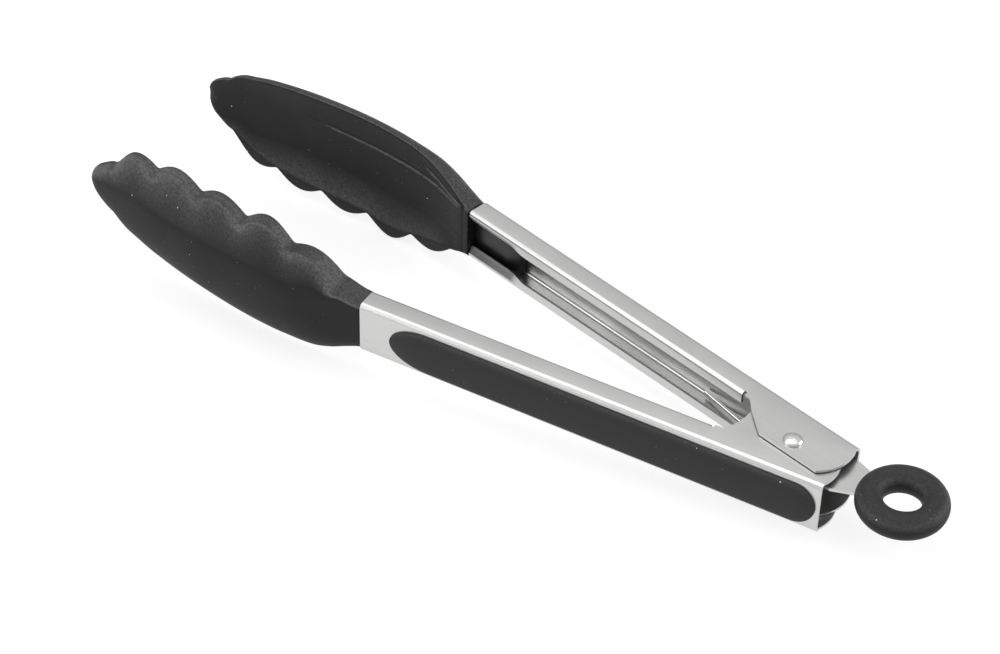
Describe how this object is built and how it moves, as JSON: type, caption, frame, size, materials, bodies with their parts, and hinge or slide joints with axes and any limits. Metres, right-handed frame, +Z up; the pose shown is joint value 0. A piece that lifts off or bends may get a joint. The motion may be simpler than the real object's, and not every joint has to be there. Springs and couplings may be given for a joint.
{
  "type": "kitchen tongs",
  "caption": "Spring loaded kitchen tongs with steel channel arms, rubber grips, scalloped silicone spoon heads and a pull-ring lock, lying open on their side.",
  "frame": {"origin": "centre of the footprint box, on the surface the tongs lie on", "axes": "+X along the tongs from the heads to the pull ring, +Y from the front arm to the rear arm, +Z up from the surface; the rivet's axis leans 2.9 degrees from +Z because the tongs rest on the heads and the rivet"},
  "size_m": [0.3094, 0.0742, 0.0485],
  "materials": {
    "stainless_steel": "satin, with rounded bends that shine",
    "rivet_steel": "bright",
    "spring_wire": "drawn wire, bright",
    "grip_rubber": "matte",
    "black_silicone": "matte, fine moulded texture",
    "black_nylon": "matte"
  },
  "bodies": {
    "pivot": {"pivot_rivet": "rivet_steel", "torsion_spring": "spring_wire"},
    "front_arm_assembly": {"front_arm": "stainless_steel", "front_grip": "grip_rubber", "front_head_core": "black_nylon", "front_head": "black_silicone"},
    "rear_arm_assembly": {"rear_arm": "stainless_steel", "rear_grip": "grip_rubber", "rear_head_core": "black_nylon", "rear_head": "black_silicone"},
    "lock": {"lock_tab": "stainless_steel", "pull_ring": "black_silicone"}
  },
  "joints": [
    {"name": "front_arm_close", "type": "hinge", "parent": "pivot", "child": "front_arm_assembly", "pos_m": [0.1031, -0.00015, 0.01488], "axis": [-0.0507, -0.0295, -0.9983], "range_deg": [0, 6.1], "stiffness_Nm_per_rad": 1, "springref_deg": -20.05, "deforming": ["torsion_spring"]},
    {"name": "rear_arm_close", "type": "hinge", "parent": "pivot", "child": "rear_arm_assembly", "pos_m": [0.1031, -0.00015, 0.01488], "axis": [0.0507, 0.0295, 0.9983], "range_deg": [0, 6.1], "deforming": ["torsion_spring"]},
    {"name": "lock_pull", "type": "slide", "parent": "pivot", "child": "lock", "axis": [0.9969, 0.0585, -0.0523], "range_m": [0, 0.012]}
  ],
  "couplings": [
    {"joint": "rear_arm_close", "follows": "front_arm_close", "ratio": 1}
  ]
}
